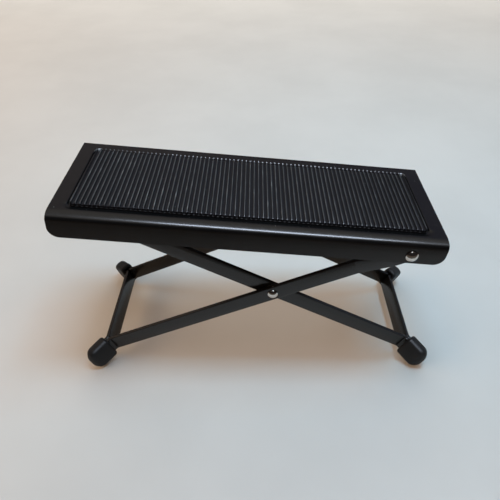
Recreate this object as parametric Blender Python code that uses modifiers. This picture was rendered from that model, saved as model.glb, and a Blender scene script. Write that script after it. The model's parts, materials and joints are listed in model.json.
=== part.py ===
"""A folding guitar footrest: a sheet-steel foot plate with a ribbed rubber pad, on two crossed
leg frames bent from flat steel strip. The plate turns on rivets at the upper end of the outer
frame and rests on a round rod between the upper ends of the inner frame.

Metres, +Z up, +X towards the hinged end of the plate. The origin is on the floor, under the
middle of the whole object. The part is symmetric about the plane y = 0.
"""

import math

import bmesh
import bpy
from mathutils import Matrix, Vector

# Foot plate, a channel folded from sheet
PLATE_LENGTH = 0.265
PLATE_WIDTH = 0.099
SHEET = 0.0015
FLANGE_DEPTH = 0.0179  # from the top surface to the flanges' lower edges
FOLD_RADIUS = 0.0024  # outside of the two long folds
FLANGE_CORNER_RADIUS = 0.0095
PLATE_EDGE_ROUND = 0.0003
HINGE_TO_PLATE_END = 0.0230
HINGE_DEPTH = 0.0117  # from the plate's top surface to the hinge axis

# Ribbed pad and the pressed recess that it is glued into
PAD_LENGTH = 0.2415
PAD_WIDTH = 0.0745
PAD_THICKNESS = 0.003
PAD_CORNER_RADIUS = 0.004
RECESS_DEPTH = 0.0008
RECESS_GAP = 0.0009  # between the pad's edge and the recess's wall
RIB_PITCH = 0.00318
RIB_HEIGHT = 0.0011
RIB_CREST = 0.0009  # flat top of a rib
RIB_FLANK = 0.00045  # how far each slanted side of a rib reaches along the pad

# Leg frames, bent from flat strip
STRIP_WIDTH = 0.012
STRIP_THICKNESS = 0.003
STRIP_EDGE_ROUND = 0.0004
BEND_RADIUS = 0.0035  # to the middle of the strip's thickness
OUTER_FRAME_HALF_WIDTH = 0.04375  # to the outer face of each side strip
OUTER_HINGE_REACH = 0.1013  # cross pivot to plate hinge
OUTER_FOOT_REACH = 0.1434  # cross pivot to the middle of the crossbar
INNER_ROD_REACH = 0.1253  # cross pivot to rod
INNER_FOOT_REACH = 0.1241
JOGGLE_START = 0.0375  # before the plate hinge, where the outer strips step out to the flanges
JOGGLE_END = 0.013
EAR_LENGTH = 0.0180  # frame corner to the tip of the folded ear
EAR_SLOT = 0.0006  # left between the ear's two layers

# Rod and the notched racks under the plate
ROD_SETTING = 0.2032  # plate hinge to rod, along the plate
ROD_RADIUS = 0.0025
SPIGOT_RADIUS = 0.0019
SPIGOT_STAND_OUT = 0.0004
RACK_SPACING = 0.054  # between the middles of the two racks
RACK_THICKNESS = 0.0025
RACK_END_MARGIN = 0.0055  # from the first and last notch to the rack's ends
NOTCH_PITCH = 0.0067
NOTCH_COUNT = 4
NOTCH_DEPTH = 0.0025

# Rivets and washers
HOLE_RADIUS = 0.0028
SHANK_RADIUS = 0.0025
HINGE_HEAD_RADIUS = 0.0043
HINGE_HEAD_HEIGHT = 0.0022
CROSS_HEAD_RADIUS = 0.0040
CROSS_HEAD_HEIGHT = 0.0019
TAIL_RADIUS = 0.0036
TAIL_HEIGHT = 0.0012
TAIL_DISHING = 0.0004
WASHER_RADIUS = 0.0050
WASHER_THICKNESS = 0.0005

# Rubber feet, pushed over the ears
CAP_LENGTH = 0.0193
CAP_SIDE_WALL = 0.0021
CAP_EDGE_WALL = 0.0027
CAP_END_WALL = 0.0021
CAP_SIDE_RADIUS = 0.0040
CAP_END_RADIUS = 0.0050
CAP_MOUTH_RADIUS = 0.0006

# Clearances
SEAT_GAP = 0.0003  # between pieces that touch on the real object
CUT_OVERRUN = 0.002  # how far a cutter reaches past what it cuts

# Facets of round shapes
TURNED_STEPS = 32
ARC_STEP_DEGREES = 11.25
BEVEL_SEGMENTS = 5
SMOOTH_DEGREES = 35  # edges bent by more than this stay crisp

# Colours as (red, green, blue), with roughness and metallic value
POWDER_COAT = ((0.018, 0.018, 0.019), 0.42, 0.0)
RIBBED_RUBBER = ((0.022, 0.025, 0.031), 0.62, 0.0)
CAP_RUBBER = ((0.012, 0.012, 0.013), 0.55, 0.0)
POLISHED_NICKEL = ((0.72, 0.68, 0.62), 0.12, 1.0)
ZINC_PLATE = ((0.55, 0.55, 0.56), 0.32, 1.0)
NYLON = ((0.62, 0.61, 0.57), 0.45, 0.0)


def clear_scene():
    for obj in list(bpy.data.objects):
        bpy.data.objects.remove(obj, do_unlink=True)


def make_collection(name):
    collection = bpy.data.collections.new(name)
    bpy.context.scene.collection.children.link(collection)
    return collection


def make_material(name, finish):
    colour, roughness, metallic = finish
    material = bpy.data.materials.new(name)
    material.use_nodes = True
    shader = material.node_tree.nodes["Principled BSDF"]
    shader.inputs["Base Color"].default_value = (*colour, 1)
    shader.inputs["Roughness"].default_value = roughness
    shader.inputs["Metallic"].default_value = metallic
    material.diffuse_color = (*colour, 1)
    return material


def place(obj, parent, location=(0, 0, 0), turn=(0, 0, 0)):
    obj.parent = parent
    obj.location = location
    obj.rotation_euler = turn
    return obj


def make_empty(name, parent=None, location=(0, 0, 0), turn=(0, 0, 0)):
    empty = bpy.data.objects.new(name, None)
    footrest.objects.link(empty)
    return place(empty, parent, location, turn)


def make_part(name, mesh, material, parent, location=(0, 0, 0), turn=(0, 0, 0)):
    obj = bpy.data.objects.new(name, mesh)
    footrest.objects.link(obj)
    mesh.materials.clear()
    mesh.materials.append(material)
    return place(obj, parent, location, turn)


def make_cutter(name, mesh, parent, location=(0, 0, 0), turn=(0, 0, 0)):
    obj = bpy.data.objects.new(name, mesh)
    cutters.objects.link(obj)
    obj.hide_render = True
    obj.display_type = "WIRE"
    return place(obj, parent, location, turn)


def make_smoothing():
    """Geometry nodes that shade a finished mesh smooth, except over its crisp edges."""
    group = bpy.data.node_groups.new("smooth_by_angle", "GeometryNodeTree")
    group.interface.new_socket("Geometry", in_out="INPUT", socket_type="NodeSocketGeometry")
    group.interface.new_socket("Geometry", in_out="OUTPUT", socket_type="NodeSocketGeometry")
    source = group.nodes.new("NodeGroupInput")
    angle = group.nodes.new("GeometryNodeInputMeshEdgeAngle")
    gentle = group.nodes.new("FunctionNodeCompare")
    gentle.operation = "LESS_THAN"
    gentle.inputs["B"].default_value = math.radians(SMOOTH_DEGREES)
    faces = group.nodes.new("GeometryNodeSetShadeSmooth")
    edges = group.nodes.new("GeometryNodeSetShadeSmooth")
    edges.domain = "EDGE"
    result = group.nodes.new("NodeGroupOutput")
    group.links.new(angle.outputs["Unsigned Angle"], gentle.inputs["A"])
    group.links.new(source.outputs["Geometry"], faces.inputs["Geometry"])
    group.links.new(faces.outputs["Geometry"], edges.inputs["Geometry"])
    group.links.new(gentle.outputs["Result"], edges.inputs["Shade Smooth"])
    group.links.new(edges.outputs["Geometry"], result.inputs["Geometry"])
    return group


def smooth_parts():
    for obj in footrest.objects:
        if obj.type == "MESH":
            obj.modifiers.new("smoothing", "NODES").node_group = smoothing


def add_boolean(obj, other, operation):
    modifier = obj.modifiers.new(f"{operation.lower()}_{other.name}", "BOOLEAN")
    modifier.operation = operation
    modifier.object = other


def add_bevel(obj, width, segments):
    modifier = obj.modifiers.new("edge_round", "BEVEL")
    modifier.width = width
    modifier.segments = segments
    modifier.limit_method = "ANGLE"
    modifier.angle_limit = math.radians(40)


def add_solidify(obj, thickness, offset):
    modifier = obj.modifiers.new("sheet", "SOLIDIFY")
    modifier.thickness = thickness
    modifier.offset = offset
    modifier.use_even_offset = True


def arc(centre, radius, start, end):
    """Points on an arc, from one angle in degrees to another, both ends included."""
    count = max(2, math.ceil(abs(end - start) / ARC_STEP_DEGREES))
    angles = [math.radians(start + (end - start) * i / count) for i in range(count + 1)]
    return [Vector((centre[0] + radius * math.cos(a), centre[1] + radius * math.sin(a))) for a in angles]


def rounded_rectangle(length, width, radius):
    x, y = length / 2 - radius, width / 2 - radius
    corners = [((x, -y), -90), ((x, y), 0), ((-x, y), 90), ((-x, -y), 180)]
    return [point for centre, start in corners for point in arc(centre, radius, start, start + 90)]


def bent_path(corners):
    """A line through (x, y, bend radius) corners, each bend drawn as an arc."""
    points = [Vector(corners[0][:2])]
    for before, corner, after in zip(corners, corners[1:], corners[2:]):
        here, radius = Vector(corner[:2]), corner[2]
        into = (here - Vector(before[:2])).normalized()
        out = (Vector(after[:2]) - here).normalized()
        turn = into.angle_signed(out)
        if radius == 0 or abs(turn) < math.radians(1):
            points.append(here)
            continue
        side = -math.copysign(1, turn)
        start = here - into * radius * math.tan(abs(turn) / 2)
        centre = start + Vector((-into.y, into.x)) * radius * side
        first = math.degrees(math.atan2(start.y - centre.y, start.x - centre.x))
        points.extend(arc(centre, radius, first, first + side * math.degrees(abs(turn))))
    points.append(Vector(corners[-1][:2]))
    return points


def curve_mesh(name, points, half_depth, closed):
    """A flat outline as a filled block, or an open path as a ribbon, half_depth to each side."""
    curve = bpy.data.curves.new(name, "CURVE")
    curve.dimensions = "2D"
    curve.fill_mode = "BOTH" if closed else "NONE"
    curve.extrude = half_depth
    spline = curve.splines.new("POLY")
    spline.points.add(len(points) - 1)
    for point, place_on_line in zip(spline.points, points):
        point.co = (place_on_line.x, place_on_line.y, 0, 1)
    spline.use_cyclic_u = closed
    holder = bpy.data.objects.new(name, curve)
    bpy.context.scene.collection.objects.link(holder)
    graph = bpy.context.evaluated_depsgraph_get()
    mesh = bpy.data.meshes.new_from_object(holder.evaluated_get(graph))
    bpy.data.objects.remove(holder)
    bpy.data.curves.remove(curve)
    shape = bmesh.new()
    shape.from_mesh(mesh)
    bmesh.ops.remove_doubles(shape, verts=shape.verts, dist=1e-6)
    bmesh.ops.recalc_face_normals(shape, faces=shape.faces)
    shape.to_mesh(mesh)
    shape.free()
    mesh.name = name
    return mesh


def upright(mesh):
    """Turns a mesh drawn in x and y so that its drawing stands in x and z."""
    mesh.transform(Matrix.Rotation(math.radians(90), 4, "X"))
    return mesh


def cylinder_mesh(name, radius, length):
    """A cylinder along Y, centred."""
    shape = bmesh.new()
    bmesh.ops.create_cone(
        shape, cap_ends=True, segments=TURNED_STEPS, radius1=radius, radius2=radius, depth=length
    )
    mesh = bpy.data.meshes.new(name)
    shape.to_mesh(mesh)
    shape.free()
    return upright(mesh)


def turned_part(name, profile, closed, material, parent, location, turn):
    """A profile of (radius, height) points, turned about the object's own Z."""
    mesh = bpy.data.meshes.new(name)
    shape = bmesh.new()
    ring = [shape.verts.new((radius, 0, height)) for radius, height in profile]
    pairs = list(zip(ring, ring[1:])) + ([(ring[-1], ring[0])] if closed else [])
    for pair in pairs:
        shape.edges.new(pair)
    shape.to_mesh(mesh)
    shape.free()
    obj = make_part(name, mesh, material, parent, location, turn)
    screw = obj.modifiers.new("turning", "SCREW")
    screw.steps = TURNED_STEPS
    screw.render_steps = TURNED_STEPS
    screw.use_merge_vertices = True
    screw.merge_threshold = 1e-5
    return obj


def dome(radius, height, base):
    """A shallow dome's outline, from the middle of its top to its rim."""
    sphere = (radius**2 + height**2) / (2 * height)
    reach = math.degrees(math.asin(radius / sphere))
    drop = base + height - sphere
    return [(max(0, p.x), p.y) for p in arc((0, drop), sphere, 90, 90 - reach)]


def rivet(name, head_radius, head_height, grip, parent, location, turn):
    """A dome-headed rivet. Its own +Z points out of the head, and z = 0 is the head's seat."""
    tail = -grip
    profile = dome(head_radius, head_height, 0) + [
        (SHANK_RADIUS, 0),
        (SHANK_RADIUS, tail),
        (TAIL_RADIUS, tail),
        (TAIL_RADIUS, tail - TAIL_HEIGHT + TAIL_DISHING),
        (TAIL_RADIUS - TAIL_DISHING, tail - TAIL_HEIGHT),
        (0, tail - TAIL_HEIGHT),
    ]
    return turned_part(name, profile, False, nickel, parent, location, turn)


def washer(name, parent, location, turn):
    """A flat washer, centred on its own origin."""
    half = WASHER_THICKNESS / 2
    profile = [(WASHER_RADIUS, half), (WASHER_RADIUS, -half), (HOLE_RADIUS, -half), (HOLE_RADIUS, half)]
    return turned_part(name, profile, True, nylon, parent, location, turn)


# The frames' side strips are a washer apart, and the outer ones end against the flanges
washer_space = WASHER_THICKNESS + 2 * SEAT_GAP
inner_frame_half_width = OUTER_FRAME_HALF_WIDTH - STRIP_THICKNESS - washer_space
hinge_strip_face = PLATE_WIDTH / 2 - SHEET - SEAT_GAP
layer_spacing = STRIP_THICKNESS + EAR_SLOT

# The foot's rounding that stands on the floor, seen from the side in its leg's own directions:
# how far its middle lies beyond the crossbar and below the strip's middle, and its radius
cap_half_height = STRIP_WIDTH / 2 + SEAT_GAP + CAP_EDGE_WALL
cap_tip = EAR_LENGTH + SEAT_GAP + CAP_END_WALL
contact_beyond = (cap_tip - CAP_END_RADIUS) * math.cos(math.radians(45))
contact_below = cap_half_height - CAP_END_RADIUS


def solve_stance():
    """The slopes of both legs and the plate with all four feet on the floor, in radians.

    Plate hinge, cross pivot and rod make a triangle, which gives each leg's angle to the plate.
    The plate's tilt then brings both frames' feet to one height.
    """
    hinge, rod, base = OUTER_HINGE_REACH, INNER_ROD_REACH, ROD_SETTING
    outer_angle = math.acos((hinge**2 + base**2 - rod**2) / (2 * hinge * base))
    inner_angle = math.acos((rod**2 + base**2 - hinge**2) / (2 * rod * base))
    outer = Vector((OUTER_FOOT_REACH + contact_beyond, contact_below))
    inner = Vector((INNER_FOOT_REACH + contact_beyond, contact_below))
    outer_total = outer_angle + math.atan2(outer.y, outer.x)
    inner_total = inner_angle + math.atan2(inner.y, inner.x)
    tilt = math.atan2(
        outer.length * math.sin(outer_total) - inner.length * math.sin(inner_total),
        outer.length * math.cos(outer_total) + inner.length * math.cos(inner_total),
    )
    return outer_angle - tilt, inner_angle + tilt, tilt


def frame_ribbon(name, half_width, top_reach, foot_reach, foot_side, top_face):
    """Half of a leg frame as a ribbon, from the upper end of one side strip to mid crossbar.

    x runs along the leg, with the foot at foot_side * foot_reach, and the strip's width is z.
    """
    side = half_width - STRIP_THICKNESS / 2
    top = top_face - STRIP_THICKNESS / 2
    offset = layer_spacing / math.sqrt(2)
    tip = EAR_LENGTH - STRIP_THICKNESS / 2
    along = tip / math.sqrt(2)
    step = offset / 2
    corners = [(-top_reach - STRIP_WIDTH, -top, 0)]
    if top != side:
        corners += [
            (-top_reach + JOGGLE_END, -top, BEND_RADIUS),
            (-top_reach + JOGGLE_START, -side, BEND_RADIUS),
        ]
    corners += [
        (foot_reach - offset, -side, BEND_RADIUS),
        (foot_reach + along - step, -side - along - step, layer_spacing / 2),
        (foot_reach + along + step, -side - along + step, layer_spacing / 2),
        (foot_reach, -side + offset, BEND_RADIUS),
        (foot_reach, 0, 0),
    ]
    path = bent_path([(foot_side * x, y, radius) for x, y, radius in corners])
    return curve_mesh(name, path, STRIP_WIDTH / 2, closed=False)


def leg_silhouette(name, top_reach, foot_reach, foot_side):
    """The leg seen from its side: round at the upper end, past the ears at the foot."""
    far = foot_reach + EAR_LENGTH + CUT_OVERRUN
    half = STRIP_WIDTH / 2
    over = CUT_OVERRUN
    end = arc((-top_reach, 0), half, 90, 270)
    outline = [Vector((far, -half - over)), Vector((far, half + over)), Vector((0, half + over))]
    outline += [Vector((0, half)), *end, Vector((0, -half)), Vector((0, -half - over))]
    if foot_side < 0:
        outline = [Vector((-p.x, p.y)) for p in reversed(outline)]
    return upright(curve_mesh(name, outline, PLATE_WIDTH, closed=True))


def leg_frame(name, half_width, top_reach, foot_reach, foot_side, top_face, top_hole, parent):
    mesh = frame_ribbon(name, half_width, top_reach, foot_reach, foot_side, top_face)
    frame = make_part(name, mesh, powder_coat, parent)
    mirror = frame.modifiers.new("other_side", "MIRROR")
    mirror.use_axis = (False, True, False)
    mirror.merge_threshold = 1e-5
    add_solidify(frame, STRIP_THICKNESS, 0)
    add_bevel(frame, STRIP_EDGE_ROUND, 2)
    silhouette = leg_silhouette(f"{name}_silhouette", top_reach, foot_reach, foot_side)
    add_boolean(frame, make_cutter(f"{name}_silhouette", silhouette, parent), "INTERSECT")
    for label, x, radius in (("top", -foot_side * top_reach, top_hole), ("cross", 0, HOLE_RADIUS)):
        hole = cylinder_mesh(f"{name}_{label}_hole", radius, 2 * PLATE_WIDTH)
        add_boolean(frame, make_cutter(hole.name, hole, parent, (x, 0, 0)), "DIFFERENCE")
    return frame


def bevel_edges(shape, chosen, width, segments):
    edges = [edge for edge in shape.edges if chosen(edge)]
    bmesh.ops.bevel(shape, geom=edges, offset=width, segments=segments, profile=0.5, affect="EDGES")


def cap_mesh(name):
    """A rubber foot along its own +X, with its mouth at x = 0."""
    thickness = layer_spacing + STRIP_THICKNESS + 2 * (SEAT_GAP + CAP_SIDE_WALL)
    shape = bmesh.new()
    bmesh.ops.create_cube(shape, size=1)
    bmesh.ops.scale(shape, verts=shape.verts, vec=(CAP_LENGTH, thickness, 2 * cap_half_height))
    bmesh.ops.translate(shape, verts=shape.verts, vec=(CAP_LENGTH / 2, 0, 0))

    def runs_along(edge):
        return abs(edge.verts[0].co.x - edge.verts[1].co.x) > CAP_LENGTH / 2

    def at_x(edge, x):
        return all(abs(vert.co.x - x) < CAP_MOUTH_RADIUS / 100 for vert in edge.verts)

    bevel_edges(shape, runs_along, CAP_SIDE_RADIUS, BEVEL_SEGMENTS)
    bevel_edges(shape, lambda edge: at_x(edge, CAP_LENGTH), CAP_END_RADIUS, BEVEL_SEGMENTS)
    bevel_edges(shape, lambda edge: at_x(edge, 0), CAP_MOUTH_RADIUS, 2)
    bmesh.ops.recalc_face_normals(shape, faces=shape.faces)
    mesh = bpy.data.meshes.new(name)
    shape.to_mesh(mesh)
    shape.free()
    return mesh


def add_cap(name, foot_side, y_side, half_width, foot_reach, parent):
    """A foot on one ear. The ear leaves the frame's corner at 45 degrees, outwards."""
    corner = Vector((foot_side * foot_reach, y_side * (half_width - STRIP_THICKNESS / 2), 0))
    ear = Vector((foot_side, y_side, 0)).normalized()
    mouth = corner + ear * (cap_tip - CAP_LENGTH)
    heading = math.atan2(ear.y, ear.x)
    cap = make_part(name, cap_mesh(name), cap_rubber, parent, mouth, (0, 0, heading))
    pocket_width = layer_spacing + STRIP_THICKNESS + 2 * SEAT_GAP
    pocket_depth = CAP_LENGTH - CAP_END_WALL
    outline = rounded_rectangle(2 * pocket_depth, pocket_width, pocket_width / 2 - SEAT_GAP)
    pocket = curve_mesh(f"{name}_pocket", outline, STRIP_WIDTH / 2 + SEAT_GAP, closed=True)
    cutter = make_cutter(f"{name}_pocket", pocket, parent, mouth, (0, 0, heading))
    add_boolean(cap, cutter, "DIFFERENCE")
    return cap


def build_plate(parent):
    """The channel, drawn about the hinge axis: x along the plate, z from the hinge upwards."""
    middle = HINGE_TO_PLATE_END - PLATE_LENGTH / 2
    half = PLATE_WIDTH / 2
    section = bent_path(
        [
            (-half, HINGE_DEPTH - FLANGE_DEPTH - CUT_OVERRUN, 0),
            (-half, HINGE_DEPTH, FOLD_RADIUS),
            (half, HINGE_DEPTH, FOLD_RADIUS),
            (half, HINGE_DEPTH - FLANGE_DEPTH - CUT_OVERRUN, 0),
        ]
    )
    mesh = curve_mesh("foot_plate", section, PLATE_LENGTH / 2 + CUT_OVERRUN, closed=False)
    mesh.transform(Matrix.Rotation(math.radians(90), 4, "X"))
    mesh.transform(Matrix.Rotation(math.radians(90), 4, "Z"))
    mesh.transform(Matrix.Translation((middle, 0, 0)))
    plate = make_part("foot_plate", mesh, powder_coat, parent)
    add_solidify(plate, SHEET, -1)

    low, high = -FLANGE_DEPTH / 2, FLANGE_DEPTH / 2
    x, radius = PLATE_LENGTH / 2, FLANGE_CORNER_RADIUS
    outline = arc((x - radius, low + radius), radius, -90, 0)
    outline += [Vector((x, high + CUT_OVERRUN)), Vector((-x, high + CUT_OVERRUN))]
    outline += arc((-x + radius, low + radius), radius, 180, 270)
    silhouette = upright(curve_mesh("plate_silhouette", outline, PLATE_WIDTH, closed=True))
    centre = (middle, 0, HINGE_DEPTH - FLANGE_DEPTH / 2)
    add_boolean(plate, make_cutter("plate_silhouette", silhouette, parent, centre), "INTERSECT")

    recess_length, recess_width = PAD_LENGTH + 2 * RECESS_GAP, PAD_WIDTH + 2 * RECESS_GAP
    recess_radius = PAD_CORNER_RADIUS + RECESS_GAP
    tray_outline = rounded_rectangle(
        recess_length + 2 * SHEET, recess_width + 2 * SHEET, recess_radius + SHEET
    )
    tray = curve_mesh("recess_tray", tray_outline, (RECESS_DEPTH + SHEET / 2) / 2, closed=True)
    tray_middle = HINGE_DEPTH - SHEET / 2 - (RECESS_DEPTH + SHEET / 2) / 2
    add_boolean(plate, make_cutter("recess_tray", tray, parent, (middle, 0, tray_middle)), "UNION")
    pocket_outline = rounded_rectangle(recess_length, recess_width, recess_radius)
    pocket = curve_mesh("pad_recess", pocket_outline, RECESS_DEPTH, closed=True)
    add_boolean(plate, make_cutter("pad_recess", pocket, parent, (middle, 0, HINGE_DEPTH)), "DIFFERENCE")
    hole = cylinder_mesh("plate_hinge_hole", HOLE_RADIUS, 2 * PLATE_WIDTH)
    add_boolean(plate, make_cutter("plate_hinge_hole", hole, parent), "DIFFERENCE")
    add_bevel(plate, PLATE_EDGE_ROUND, 2)
    return plate


def build_pad(parent):
    """The ribbed pad: a rib section along x, drawn out across the plate, with round corners."""
    middle = HINGE_TO_PLATE_END - PLATE_LENGTH / 2
    base = HINGE_DEPTH - RECESS_DEPTH + SEAT_GAP
    crest = base + PAD_THICKNESS
    groove = crest - RIB_HEIGHT
    count = round(PAD_LENGTH / RIB_PITCH)
    pitch = PAD_LENGTH / count
    start = -PAD_LENGTH / 2
    outline = [Vector((-start, base)), Vector((-start, groove))]
    for index in reversed(range(count)):
        rib = start + (index + 1 / 2) * pitch
        outline += [
            Vector((rib + RIB_CREST / 2 + RIB_FLANK, groove)),
            Vector((rib + RIB_CREST / 2, crest)),
            Vector((rib - RIB_CREST / 2, crest)),
            Vector((rib - RIB_CREST / 2 - RIB_FLANK, groove)),
        ]
    outline += [Vector((start, groove)), Vector((start, base))]
    mesh = upright(curve_mesh("tread_pad", outline, PAD_WIDTH / 2 + CUT_OVERRUN, closed=True))
    pad = make_part("tread_pad", mesh, ribbed_rubber, parent, (middle, 0, 0))
    shape = rounded_rectangle(PAD_LENGTH, PAD_WIDTH, PAD_CORNER_RADIUS)
    block = curve_mesh("pad_outline", shape, PAD_THICKNESS, closed=True)
    add_boolean(pad, make_cutter("pad_outline", block, parent, (middle, 0, groove)), "INTERSECT")
    return pad


def build_racks(parent):
    """Two strips on edge under the plate, with a row of round notches that open downwards."""
    top = HINGE_DEPTH - RECESS_DEPTH - SHEET - SEAT_GAP
    tips = ROD_RADIUS + SEAT_GAP
    notch_radius = ROD_RADIUS + SEAT_GAP
    start = -ROD_SETTING + RACK_END_MARGIN
    end = -ROD_SETTING - (NOTCH_COUNT - 1) * NOTCH_PITCH - RACK_END_MARGIN
    outline = [Vector((start, tips)), Vector((start, top)), Vector((end, top)), Vector((end, tips))]
    for index in reversed(range(NOTCH_COUNT)):
        centre = (-ROD_SETTING - index * NOTCH_PITCH, tips + NOTCH_DEPTH - notch_radius)
        reach = math.degrees(math.asin((notch_radius - NOTCH_DEPTH) / notch_radius))
        outline += arc(centre, notch_radius, 180 - reach, reach)
    for label, side in (("front", -1), ("rear", 1)):
        mesh = upright(curve_mesh(f"height_rack_{label}", outline, RACK_THICKNESS / 2, closed=True))
        make_part(mesh.name, mesh, powder_coat, parent, (0, side * RACK_SPACING / 2, 0))


def build_rod(parent):
    """The round rod between the inner frame's side strips, with a spigot riveted into each."""
    shoulder = inner_frame_half_width - STRIP_THICKNESS - SEAT_GAP
    end = inner_frame_half_width + SPIGOT_STAND_OUT
    profile = [
        (0, end),
        (SPIGOT_RADIUS, end),
        (SPIGOT_RADIUS, shoulder),
        (ROD_RADIUS, shoulder),
        (ROD_RADIUS, -shoulder),
        (SPIGOT_RADIUS, -shoulder),
        (SPIGOT_RADIUS, -end),
        (0, -end),
    ]
    quarter = (math.radians(90), 0, 0)
    turned_part("rest_rod", profile, False, zinc, parent, (-INNER_ROD_REACH, 0, 0), quarter)


def build_rivets(cross_parent, hinge_parent):
    """Each pivot has a rivet in front and one behind.

    The cross rivets' washers lie between the two frames, and the hinge rivets' under their tails.
    """
    for label, side in (("front", -1), ("rear", 1)):
        outwards = (math.radians(90) * -side, 0, 0)
        head = PLATE_WIDTH / 2 + SEAT_GAP
        grip = head - hinge_strip_face + STRIP_THICKNESS + washer_space
        rivet(
            f"hinge_rivet_{label}", HINGE_HEAD_RADIUS, HINGE_HEAD_HEIGHT, grip,
            hinge_parent, (0, side * head, 0), outwards,
        )
        middle = hinge_strip_face - STRIP_THICKNESS - washer_space / 2
        washer(f"hinge_washer_{label}", hinge_parent, (0, side * middle, 0), outwards)
        head = OUTER_FRAME_HALF_WIDTH + SEAT_GAP
        grip = head - inner_frame_half_width + STRIP_THICKNESS + SEAT_GAP
        rivet(
            f"cross_rivet_{label}", CROSS_HEAD_RADIUS, CROSS_HEAD_HEIGHT, grip,
            cross_parent, (0, side * head, 0), outwards,
        )
        middle = inner_frame_half_width + washer_space / 2
        washer(f"cross_washer_{label}", cross_parent, (0, side * middle, 0), outwards)


def stand_on_floor(root):
    """Moves the object so that its feet touch z = 0 and its box is centred on x = 0."""
    bpy.context.view_layer.update()
    graph = bpy.context.evaluated_depsgraph_get()
    low, high = Vector((math.inf,) * 3), Vector((-math.inf,) * 3)
    for obj in footrest.objects:
        if obj.type != "MESH":
            continue
        solid = obj.evaluated_get(graph)
        for vertex in solid.data.vertices:
            point = solid.matrix_world @ vertex.co
            low = Vector(map(min, low, point))
            high = Vector(map(max, high, point))
    root.location = (-(low.x + high.x) / 2, 0, -low.z)


clear_scene()
footrest = make_collection("guitar_footrest")
cutters = make_collection("cutters")
powder_coat = make_material("powder_coat", POWDER_COAT)
ribbed_rubber = make_material("ribbed_rubber", RIBBED_RUBBER)
cap_rubber = make_material("cap_rubber", CAP_RUBBER)
nickel = make_material("nickel", POLISHED_NICKEL)
zinc = make_material("zinc", ZINC_PLATE)
nylon = make_material("nylon", NYLON)
smoothing = make_smoothing()

outer_slope, inner_slope, plate_tilt = solve_stance()
stance = make_empty("stance")
cross_pivot = make_empty("cross_pivot", stance)
outer_axis = make_empty("outer_leg_axis", cross_pivot, turn=(0, -outer_slope, 0))
inner_axis = make_empty("inner_leg_axis", cross_pivot, turn=(0, inner_slope, 0))
hinge_point = Vector((math.cos(outer_slope), 0, math.sin(outer_slope))) * OUTER_HINGE_REACH
plate_axis = make_empty("plate_axis", cross_pivot, hinge_point, (0, plate_tilt, 0))

leg_frame(
    "outer_leg_frame", OUTER_FRAME_HALF_WIDTH, OUTER_HINGE_REACH, OUTER_FOOT_REACH, -1,
    hinge_strip_face, HOLE_RADIUS, outer_axis,
)
leg_frame(
    "inner_leg_frame", inner_frame_half_width, INNER_ROD_REACH, INNER_FOOT_REACH, 1,
    inner_frame_half_width, SPIGOT_RADIUS + SEAT_GAP, inner_axis,
)
for label, side in (("front", -1), ("rear", 1)):
    add_cap(f"foot_cap_left_{label}", -1, side, OUTER_FRAME_HALF_WIDTH, OUTER_FOOT_REACH, outer_axis)
    add_cap(f"foot_cap_right_{label}", 1, side, inner_frame_half_width, INNER_FOOT_REACH, inner_axis)
build_rod(inner_axis)
build_plate(plate_axis)
build_pad(plate_axis)
build_racks(plate_axis)
build_rivets(outer_axis, plate_axis)
smooth_parts()
stand_on_floor(stance)
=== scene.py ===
import json
from math import asin, atan, atan2, ceil, copysign, cos, hypot, pi, radians, sin, sqrt, tan, tau

import bmesh
import bpy
from mathutils import Matrix, Vector


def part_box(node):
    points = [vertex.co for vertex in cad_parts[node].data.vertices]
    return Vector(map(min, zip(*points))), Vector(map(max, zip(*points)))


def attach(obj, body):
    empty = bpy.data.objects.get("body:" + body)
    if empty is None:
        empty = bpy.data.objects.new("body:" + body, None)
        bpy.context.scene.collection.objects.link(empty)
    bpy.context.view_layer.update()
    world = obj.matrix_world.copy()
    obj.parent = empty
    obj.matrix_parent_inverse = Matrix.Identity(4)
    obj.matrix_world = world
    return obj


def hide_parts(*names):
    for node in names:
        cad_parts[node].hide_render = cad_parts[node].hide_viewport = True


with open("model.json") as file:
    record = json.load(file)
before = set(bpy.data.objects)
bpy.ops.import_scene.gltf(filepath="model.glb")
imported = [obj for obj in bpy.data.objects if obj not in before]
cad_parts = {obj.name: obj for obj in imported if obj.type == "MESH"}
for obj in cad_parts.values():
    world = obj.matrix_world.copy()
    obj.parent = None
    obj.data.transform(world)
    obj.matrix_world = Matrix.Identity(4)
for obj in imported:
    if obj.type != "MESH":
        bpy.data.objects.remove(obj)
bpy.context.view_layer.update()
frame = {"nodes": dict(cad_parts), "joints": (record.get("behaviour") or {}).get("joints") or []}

joints = {joint["name"]: joint for joint in frame["joints"]}
sides = {"front": -1, "rear": 1}

# Where the three moving parts stand, from the frame's own pivots
hingePoint = Vector(joints["fold"]["pos_m"])
crossPoint = Vector(joints["leg_spread"]["pos_m"])
rodLow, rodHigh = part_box("rest_rod")
rodPoint = (rodLow + rodHigh) / 2
plateTilt = atan2(rodPoint.z - hingePoint.z, hingePoint.x - rodPoint.x)
outerSlope = atan2(hingePoint.z - crossPoint.z, hingePoint.x - crossPoint.x)
innerSlope = atan2(rodPoint.z - crossPoint.z, crossPoint.x - rodPoint.x)
platePlace = Matrix.Translation(hingePoint) @ Matrix.Rotation(plateTilt, 4, "Y")
outerPlace = Matrix.Translation(crossPoint) @ Matrix.Rotation(-outerSlope, 4, "Y")
innerPlace = Matrix.Translation(crossPoint) @ Matrix.Rotation(innerSlope, 4, "Y")


def boxIn(place, node):
    # a node's lowest and highest corner, in the directions of a moving part
    turnBack = place.inverted()
    points = [turnBack @ vertex.co for vertex in frame["nodes"][node].data.vertices]
    low = Vector([min(point[axis] for point in points) for axis in range(3)])
    high = Vector([max(point[axis] for point in points) for axis in range(3)])
    return low, high


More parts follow.
